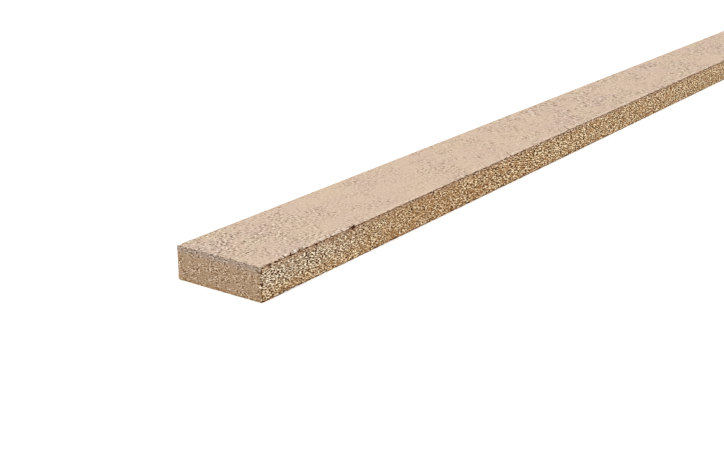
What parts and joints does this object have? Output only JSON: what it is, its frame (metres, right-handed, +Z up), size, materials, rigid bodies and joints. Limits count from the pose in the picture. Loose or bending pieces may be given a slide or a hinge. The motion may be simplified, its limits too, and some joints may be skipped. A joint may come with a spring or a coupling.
{
  "type": "mdf batten",
  "caption": "Square-edged strip of raw medium-density fibreboard with smooth wide faces, coarser sawn edges and square-cut ends, fixed flat as a batten or panelling strip.",
  "frame": {"origin": "middle of the wide face that the batten lies on", "axes": "+X along the length, +Y across the width, +Z up through the thickness"},
  "size_m": [2.4, 0.045, 0.015],
  "materials": {
    "raw_mdf": "raw, unprimed fibreboard: fine-sanded wide faces, sawn edges and ends"
  },
  "bodies": {
    "root": {"batten": "raw_mdf"}
  },
  "joints": []
}
